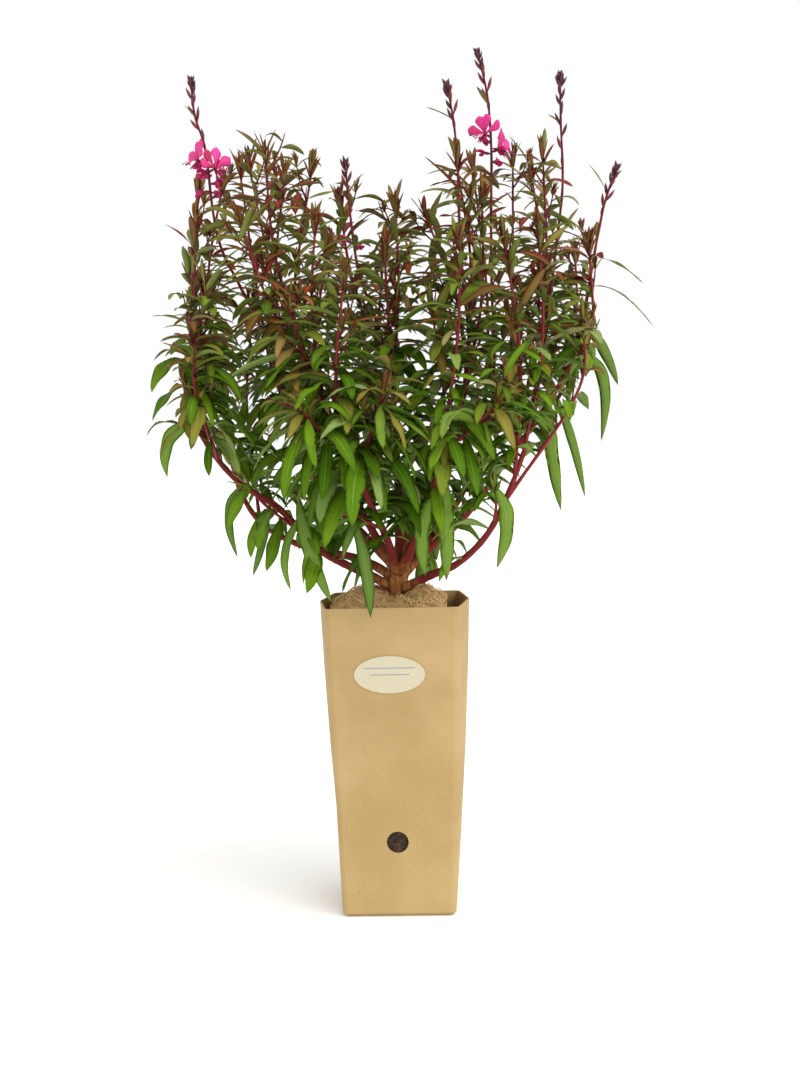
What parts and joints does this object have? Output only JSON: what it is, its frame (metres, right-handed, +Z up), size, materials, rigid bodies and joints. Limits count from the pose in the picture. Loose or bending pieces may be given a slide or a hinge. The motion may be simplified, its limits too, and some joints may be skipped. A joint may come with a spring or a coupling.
{
  "type": "potted flowering plant",
  "caption": "Bushy potted perennial with slender wands of small pink flowers, rooted in compost under a fibre mat in a tall square folded board pot.",
  "frame": {"origin": "centre of the pot's underside, on the surface it stands on", "axes": "+Z up along the pot's axis, -Y out of the labelled front wall, +X to the right seen from the front"},
  "size_m": [0.457, 0.3678, 0.7801],
  "materials": {
    "kraft_board": "matt",
    "label_paper": "satin",
    "compost": "rough",
    "coir": "rough",
    "old_wood": "rough",
    "foliage": "satin",
    "upper_foliage": "satin",
    "flowering_wand": "satin",
    "petal": "satin"
  },
  "bodies": {
    "root": {"board_pot": "kraft_board", "oval_label": "label_paper", "compost": "compost", "coir_mat": "coir", "woody_crown": "old_wood", "shoot_left_low_a": "upper_foliage", "shoot_left_low_b": "foliage", "shoot_left_low_c": "upper_foliage", "shoot_left_low_d": "foliage", "shoot_left_back_a": "upper_foliage", "shoot_left_back_b": "foliage", "shoot_left_back_c": "foliage", "shoot_left_front_a": "upper_foliage", "shoot_left_front_b": "upper_foliage", "shoot_left_front_c": "upper_foliage", "shoot_left_front_d": "foliage", "shoot_left_inner_a": "upper_foliage", "shoot_left_inner_b": "upper_foliage", "shoot_left_inner_c": "upper_foliage", "shoot_left_inner_d": "upper_foliage", "shoot_left_inner_e": "upper_foliage", "shoot_centre_a": "upper_foliage", "shoot_centre_b": "upper_foliage", "shoot_centre_c": "upper_foliage", "shoot_right_inner_a": "upper_foliage", "shoot_right_inner_b": "upper_foliage", "shoot_right_inner_c": "upper_foliage", "shoot_right_inner_d": "foliage", "shoot_right_main_a": "foliage", "shoot_right_main_b": "upper_foliage", "shoot_right_main_c": "upper_foliage", "shoot_right_main_d": "upper_foliage", "shoot_right_low_a": "upper_foliage", "shoot_right_low_b": "upper_foliage", "shoot_right_low_c": "foliage", "shoot_right_back_a": "upper_foliage", "shoot_right_back_b": "upper_foliage", "shoot_right_back_c": "foliage", "shoot_front_left_a": "foliage", "shoot_front_left_b": "foliage", "shoot_front_left_c": "foliage", "shoot_back_a": "upper_foliage", "shoot_back_b": "foliage", "shoot_front_right_a": "foliage", "shoot_front_right_b": "foliage", "spray_left_low": "foliage", "spray_left": "foliage", "spray_front_left": "foliage", "spray_front_right": "foliage", "spray_right_low": "foliage", "wand_left": "flowering_wand", "wand_centre": "flowering_wand", "wand_inner": "flowering_wand", "wand_tallest": "flowering_wand", "wand_right": "flowering_wand", "wand_far_right": "flowering_wand", "bloom_left_a": "petal", "bloom_left_b": "petal", "bloom_right_a": "petal", "bloom_right_b": "petal"}
  },
  "joints": []
}
